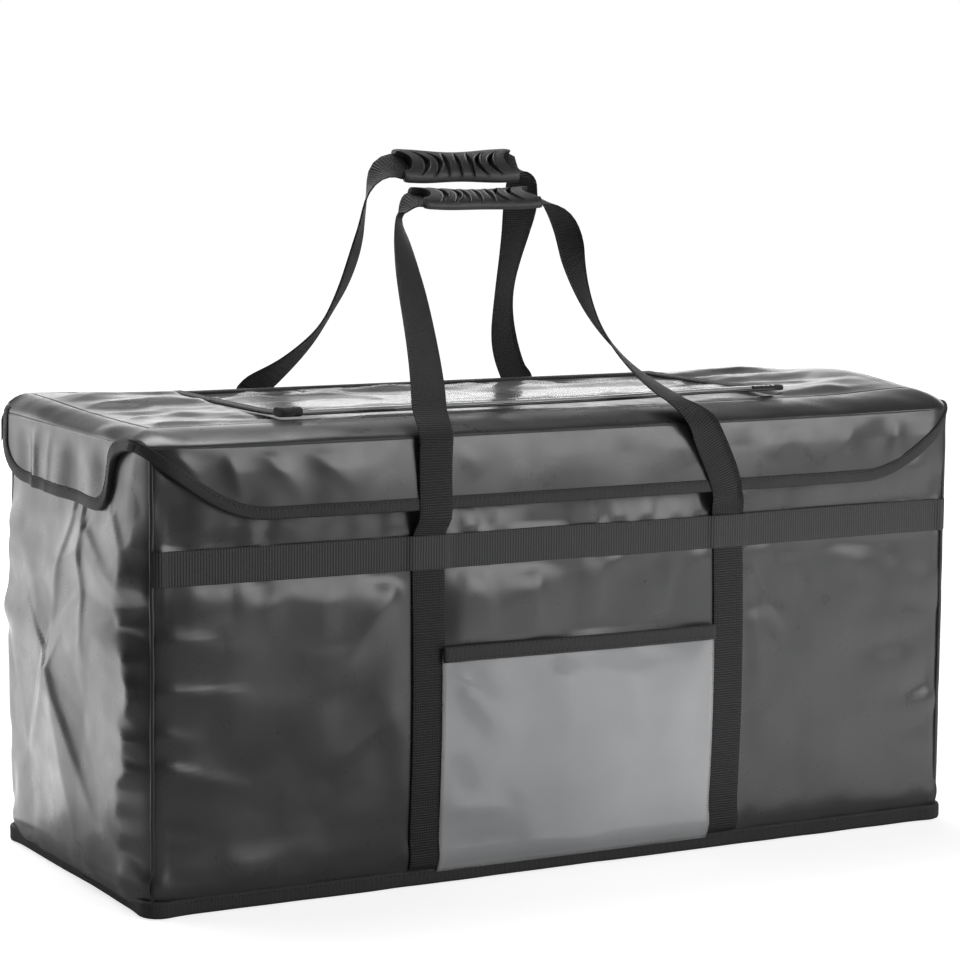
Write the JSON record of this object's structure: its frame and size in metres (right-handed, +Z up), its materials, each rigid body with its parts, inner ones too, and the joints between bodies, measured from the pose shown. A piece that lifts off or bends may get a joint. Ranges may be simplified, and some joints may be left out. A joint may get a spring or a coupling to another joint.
{
  "type": "insulated food carrier bag",
  "caption": "Large soft insulated food carrier: a foil-lined box bag with a skirted fold-back lid, webbing handles with moulded grips and clear pockets.",
  "frame": {"origin": "middle of the base, on the floor", "axes": "+X to the bag's right along its length, +Y to the rear where the lid is sewn on, +Z up"},
  "size_m": [0.784, 0.3251, 0.5909],
  "materials": {
    "coated_fabric": "smooth satin PVC-coated fabric, dark grey",
    "foam": "closed-cell polyethylene foam",
    "foil": "crinkled aluminised film, silver",
    "clear_film": "clear flexible PVC film",
    "binding_tape": "woven edge tape, black, stitched",
    "piping": "covered cord, black",
    "webbing": "ribbed polypropylene webbing, black",
    "grip_rubber": "moulded satin rubber, dark grey",
    "board": "fluted plastic board"
  },
  "bodies": {
    "bag": {"front_panel": "coated_fabric", "back_panel": "coated_fabric", "left_panel": "coated_fabric", "right_panel": "coated_fabric", "base_panel": "coated_fabric", "front_foam": "foam", "back_foam": "foam", "left_foam": "foam", "right_foam": "foam", "base_foam": "foam", "base_board": "board", "front_lining": "foil", "back_lining": "foil", "left_lining": "foil", "right_lining": "foil", "base_lining": "foil", "rim_binding": "binding_tape", "base_binding": "binding_tape", "corner_piping": "piping", "hinge_piping": "piping", "front_band": "webbing", "back_band": "webbing", "front_left_strap": "webbing", "front_right_strap": "webbing", "back_left_strap": "webbing", "back_right_strap": "webbing", "front_pocket_film": "clear_film", "front_pocket_binding": "binding_tape"},
    "lid": {"lid_panel": "coated_fabric", "lid_foam": "foam", "lid_lining": "foil", "top_pocket_film": "clear_film", "top_pocket_binding": "binding_tape"},
    "front_flap": {"front_flap_panel": "coated_fabric", "front_flap_foam": "foam", "front_flap_lining": "foil", "front_flap_binding": "binding_tape"},
    "left_flap": {"left_flap_panel": "coated_fabric", "left_flap_foam": "foam", "left_flap_lining": "foil", "left_flap_binding": "binding_tape"},
    "right_flap": {"right_flap_panel": "coated_fabric", "right_flap_foam": "foam", "right_flap_lining": "foil", "right_flap_binding": "binding_tape"},
    "front_handle": {"front_handle_strap": "webbing", "front_grip": "grip_rubber"},
    "back_handle": {"back_handle_strap": "webbing", "back_grip": "grip_rubber"}
  },
  "joints": [
    {"name": "lid_hinge", "type": "hinge", "parent": "bag", "child": "lid", "pos_m": [0, 0.15, 0.37105], "axis": [-1, 0, 0], "range_deg": [0, 110]},
    {"name": "front_flap_fold", "type": "hinge", "parent": "lid", "child": "front_flap", "pos_m": [0, -0.1576, 0.3704], "axis": [-1, 0, 0], "range_deg": [0, 75]},
    {"name": "left_flap_fold", "type": "hinge", "parent": "lid", "child": "left_flap", "pos_m": [-0.3876, 0, 0.3704], "axis": [0, 1, 0], "range_deg": [0, 55]},
    {"name": "right_flap_fold", "type": "hinge", "parent": "lid", "child": "right_flap", "pos_m": [0.3876, 0, 0.3704], "axis": [0, -1, 0], "range_deg": [0, 55]},
    {"name": "front_handle_swing", "type": "hinge", "parent": "bag", "child": "front_handle", "pos_m": [0, -0.15075, 0.29], "axis": [1, 0, 0], "range_deg": [0, 170], "deforming": ["front_handle_strap"]},
    {"name": "back_handle_swing", "type": "hinge", "parent": "bag", "child": "back_handle", "pos_m": [0, 0.15075, 0.29], "axis": [-1, 0, 0], "range_deg": [0, 170], "deforming": ["back_handle_strap"]}
  ],
  "couplings": [
    {"joint": "front_flap_fold", "follows": "lid_hinge", "ratio": 0.68181},
    {"joint": "left_flap_fold", "follows": "lid_hinge", "ratio": 0.5},
    {"joint": "right_flap_fold", "follows": "lid_hinge", "ratio": 0.5},
    {"joint": "front_handle_swing", "follows": "lid_hinge", "ratio": 1.5454},
    {"joint": "back_handle_swing", "follows": "lid_hinge", "ratio": 1.5454}
  ]
}
